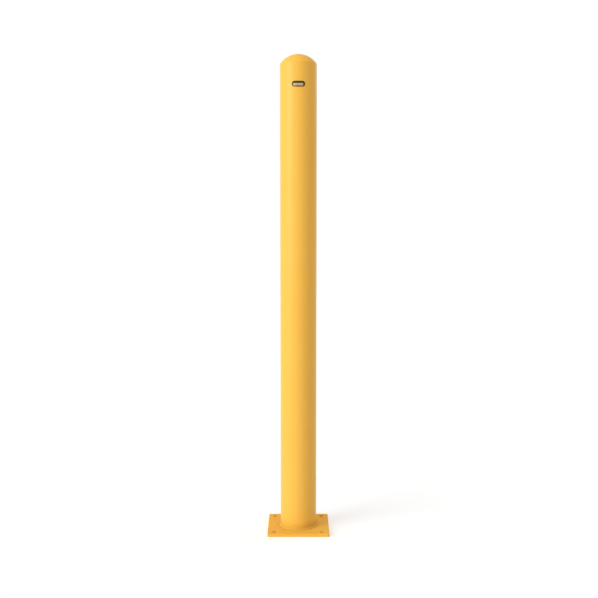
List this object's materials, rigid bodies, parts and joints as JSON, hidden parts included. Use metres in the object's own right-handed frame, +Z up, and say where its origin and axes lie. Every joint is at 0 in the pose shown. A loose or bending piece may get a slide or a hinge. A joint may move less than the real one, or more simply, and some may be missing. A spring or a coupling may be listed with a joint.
{
  "type": "steel bollard",
  "caption": "Round yellow steel bollard with a shallow domed cap, welded to a square base plate with a floor anchor hole near each corner.",
  "frame": {"origin": "middle of the base plate's underside, on the floor", "axes": "+Z up along the tube's axis, -Y towards the side with the nameplate, X and Y along the sides of the square plate"},
  "size_m": [0.13, 0.13, 1],
  "materials": {
    "yellow_coat": "semi-gloss yellow powder coat on steel",
    "black_enamel": "thin aluminium nameplate with a black enamel field and a bare raised bar"
  },
  "bodies": {
    "root": {"post_tube": "yellow_coat", "dome_cap": "yellow_coat", "cap_weld": "yellow_coat", "base_plate": "yellow_coat", "base_weld": "yellow_coat", "nameplate": "black_enamel"}
  },
  "joints": []
}
